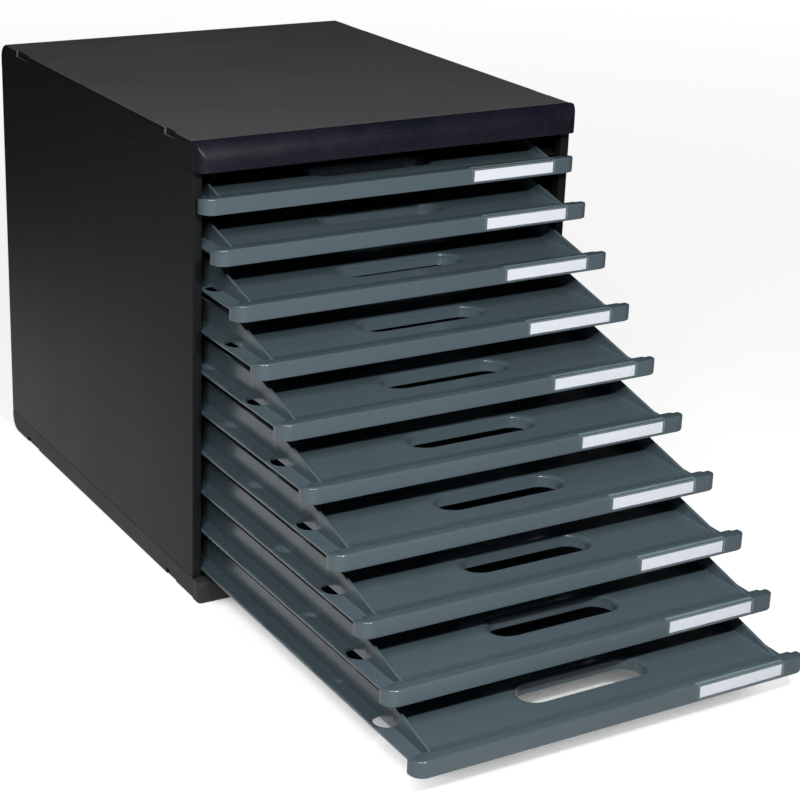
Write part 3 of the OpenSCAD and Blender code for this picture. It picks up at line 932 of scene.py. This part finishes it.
# %% Side panels
POST_W, POST_D, LAP, LAP_H, LAP_END = 6.5, 8.0, 2.2, 10.0, 13
LEDGE_W, LEDGE_T, GUIDE_T, GUIDE_Z, CHANNEL_END = 10.0, 2.5, 2.0, -3.4, 4.7
STOP_FRONT, STOP_BACK, STOP_W = 5, 3, 3
SEAM, PLAY, ROOT = 0.3, 0.3, 0.3
inner_x = HALF_W - WALL


def bar(x0, x1, y0, y1, z0, z1):
    """A rounded bar along y whose first 4 mm taper to 0.8 of the width and 0.7 of the height."""
    section = rounded([[x0, z0], [x1, z0], [x1, z1], [x0, z1]], 0.3, 3)
    verts, faces = extrude(section, "y", [y0, y0 + 4, y1])
    first = verts[:, 1] < y0 + 0.01
    centre = np.array([x1, y0, (z0 + z1) / 2])
    verts[first] = centre + (verts[first] - centre) * [0.8, 1, 0.7]
    return verts, faces


def side_skins():
    """The plate with its post, two laps, a bar and twenty channel bars, for the right side."""
    plan = rounded([[HALF_W, FRONT], [HALF_W, REAR], [inner_x, REAR], [inner_x, FRONT + POST_D],
                    [HALF_W - POST_W, FRONT + POST_D], [HALF_W - POST_W, FRONT]],
                   [0.5, 0.4, 0.2, 0.8, 0.5, 0.5])
    low, high = BASE_EDGE + SEAM / 2, LID_EDGE - SEAM / 2
    skins = [extrude(plan, "z", [low, high])]
    root = inner_x + ROOT
    lap_plan = rounded([[root, FRONT + WALL], [root, REAR - LAP_END],
                        [inner_x - LAP, REAR - LAP_END], [inner_x - LAP, FRONT + WALL]], 0.3, 3)
    skins.append(extrude(lap_plan, "z", [WALL, BASE_EDGE + LAP_H], shrink=0.2))
    skins.append(extrude(lap_plan, "z", [LID_EDGE - LAP_H, LID_TOP - WALL], shrink=0.2))
    stop = rounded([[root, REAR - STOP_FRONT], [root, REAR - STOP_BACK],
                    [inner_x - STOP_W, REAR - STOP_BACK],
                    [inner_x - STOP_W, REAR - STOP_FRONT]], 0.2, 3)
    skins.append(extrude(stop, "z", [low, high]))
    for _, rail_top in tray_place.values():
        ledge = rail_top + RUNNER_Z - RUNNER_T - PLAY
        guide = rail_top + GUIDE_Z
        for z0, z1 in ((ledge - LEDGE_T, ledge), (guide, guide + GUIDE_T)):
            skins.append(bar(inner_x - LEDGE_W, root, FRONT + POST_D - ROOT, REAR - CHANNEL_END,
                             z0, z1))
    return skins


right = side_skins()
casing_piece("side_moulding_right", right, [CASE_SIDE], "right_side_panel")
left = [mirrored(s) for s in right]
casing_piece("side_moulding_left", left, [CASE_SIDE], "left_side_panel")
back_plan = rounded([[rear_low[0], rear_low[1]], [rear_high[0], rear_low[1]],
                     [rear_high[0], rear_high[1]], [rear_low[0], rear_high[1]]], 0.4)
back = extrude(back_plan, "z", [rear_low[2], rear_high[2]], shrink=0.3)
casing_piece("rear_moulding", [back], [CASE_SIDE], "rear_panel")
print("object:", triangles, "triangles")

# %% [markdown]
# ## Studio
# The floor is one wide white sheet, just below the object. To the camera it has a plain white
# glow, except where the object hides the open sky from it, so it darkens softly underneath. The
# room is dark in the photograph's reflections, so the world is white to the camera only, and what
# a glossy surface sees of the floor is a grey sheet under the lamps with one pool of light beside
# the casing.

# %% Floor and world
POOL = (-0.3, 0.05, 0.0)


def times(tree, first, second):
    """The product of two sockets or numbers."""
    node = add(tree, "ShaderNodeMath", i0=first, i1=second)
    node.operation = "MULTIPLY"
    return node.outputs[0]


def floor_white(name):
    """Grey diffuse, a white glow for the camera and a small pool of light for mirrors.

    The camera's glow is 0.8 near the object and 1 beyond 2.5 metres, times the open sky seen from
    that point. For glossy rays it is 0.6 within 0.25 metres of POOL, fading out at 0.7 metres.
    """
    mat = bpy.data.materials.new(name)
    mat.use_nodes = True
    tree = mat.node_tree
    tree.nodes.clear()
    rays = tree.nodes.new("ShaderNodeLightPath")
    where = place(tree)
    distance = add(tree, "ShaderNodeVectorMath", i0=where)
    distance.operation = "LENGTH"
    aside = add(tree, "ShaderNodeVectorMath", i0=where, i1=POOL)
    aside.operation = "DISTANCE"
    sky = add(tree, "ShaderNodeAmbientOcclusion", Distance=0.15)
    sky.samples = 8
    open_sky = span(tree, sky.outputs["AO"], 0.03, 0.22, 0.0, 1.0)
    seen = times(tree, span(tree, distance.outputs["Value"], 0.5, 2.5, 0.8, 1.0), open_sky)
    pool = span(tree, aside.outputs["Value"], 0.25, 0.7, 0.6, 0.0)
    strength = add(tree, "ShaderNodeMath", i0=times(tree, rays.outputs["Is Camera Ray"], seen),
                   i1=times(tree, rays.outputs["Is Glossy Ray"], pool))
    lit = add(tree, "ShaderNodeBsdfDiffuse", Color=(0.4, 0.4, 0.4, 1))
    own = add(tree, "ShaderNodeEmission", Color=(1, 1, 1, 1), Strength=strength.outputs[0])
    both = add(tree, "ShaderNodeAddShader", i0=lit.outputs[0], i1=own.outputs[0])
    out = tree.nodes.new("ShaderNodeOutputMaterial")
    tree.links.new(both.outputs[0], out.inputs["Surface"])
    return mat


def sheet_object(name, half, z, mat):
    """A square stage sheet of that half-width, in metres."""
    corners = [(-half, -half, z), (half, -half, z), (half, half, z), (-half, half, z)]
    mesh = bpy.data.meshes.new(name)
    mesh.from_pydata(corners, [], [(0, 1, 2, 3)])
    mesh.materials.append(mat)
    obj = bpy.data.objects.new(name, mesh)
    bpy.context.scene.collection.objects.link(obj)


STAGE_HALF, STAGE_GAP = 12.0, 0.0006
sheet_object("studio_floor", STAGE_HALF, -STAGE_GAP, floor_white("studio_white"))
world = bpy.data.worlds.new("studio")
bpy.context.scene.world = world
world.use_nodes = True
tree = world.node_tree
tree.nodes.clear()
pale = add(tree, "ShaderNodeBackground", Color=(0.92, 0.96, 1.0, 1), Strength=0.025)
white = add(tree, "ShaderNodeBackground", Color=(1, 1, 1, 1), Strength=1.0)
rays = tree.nodes.new("ShaderNodeLightPath")
either = add(tree, "ShaderNodeMixShader", i0=rays.outputs["Is Camera Ray"], i1=pale.outputs[0],
             i2=white.outputs[0])
tree.links.new(either.outputs[0], tree.nodes.new("ShaderNodeOutputWorld").inputs["Surface"])
print("white floor and world")

# %% [markdown]
# The key is a box so small that its shadows are crisp, half a metre to the right of the camera and
# a little above it. The photograph shows where it stood: each rail throws a clean shadow edge on
# the floor of the tray below, and every rail's left corner carries its highlight. A larger box,
# high in front and to the left, lights the flanges and the floors too; a weak one overhead only
# fills.

# %% Lamps
def area_lamp(name, at, aim, size, watts):
    """A rectangular area lamp at a place, aimed at a point, both in metres."""
    light = bpy.data.lights.new(name, "AREA")
    light.shape = "RECTANGLE"
    light.size, light.size_y = size
    light.energy = watts
    obj = bpy.data.objects.new(name, light)
    bpy.context.scene.collection.objects.link(obj)
    obj.location = at
    obj.rotation_euler = (Vector(aim) - Vector(at)).to_track_quat("-Z", "Y").to_euler()


area_lamp("key_box", (-0.16, -1.07, 0.81), (0, -0.3, 0.1), (0.05, 0.04), 8.0)
area_lamp("overhead_box", (-0.3, 0.1, 1.9), (0, -0.1, 0.15), (1.3, 1.3), 1.2)
area_lamp("left_box", (-0.75, -1.0, 1.05), (-0.1, -0.25, 0.1), (0.5, 0.5), 12.5)
print("three area lamps")

# %% [markdown]
# ## Camera
# The photograph was taken from the front left, looking down about twenty degrees with a longish
# lens, and the camera was rolled a little. The frame is slightly off the optical axis, so the lens
# has a small shift.

# %% Camera
EYE = Vector((-0.6536, -1.2553, 0.6069))
AZIMUTH, ELEVATION, ROLL = math.radians(-29.77), math.radians(-20.35), math.radians(1.63)
forward = Vector((-math.sin(AZIMUTH) * math.cos(ELEVATION),
                  math.cos(AZIMUTH) * math.cos(ELEVATION), math.sin(ELEVATION)))
level = forward.cross(Vector((0, 0, 1))).normalized()
upright = level.cross(forward)
right_hand = math.cos(ROLL) * level + math.sin(ROLL) * upright
camera_up = right_hand.cross(forward)
lens = bpy.data.cameras.new("photo_lens")
lens.sensor_fit = "HORIZONTAL"
lens.sensor_width = 36.0
lens.lens = 88.96
lens.shift_x, lens.shift_y = 0.0742, -0.0321
lens.clip_end = 100
camera = bpy.data.objects.new("photo_camera", lens)
bpy.context.scene.collection.objects.link(camera)
camera.matrix_world = Matrix.Translation(EYE) @ Matrix((
    (right_hand.x, camera_up.x, -forward.x, 0), (right_hand.y, camera_up.y, -forward.y, 0),
    (right_hand.z, camera_up.z, -forward.z, 0), (0, 0, 0, 1)))
bpy.context.scene.camera = camera
bpy.context.scene.view_settings.view_transform = "Standard"
print("camera at", [round(v, 3) for v in EYE])
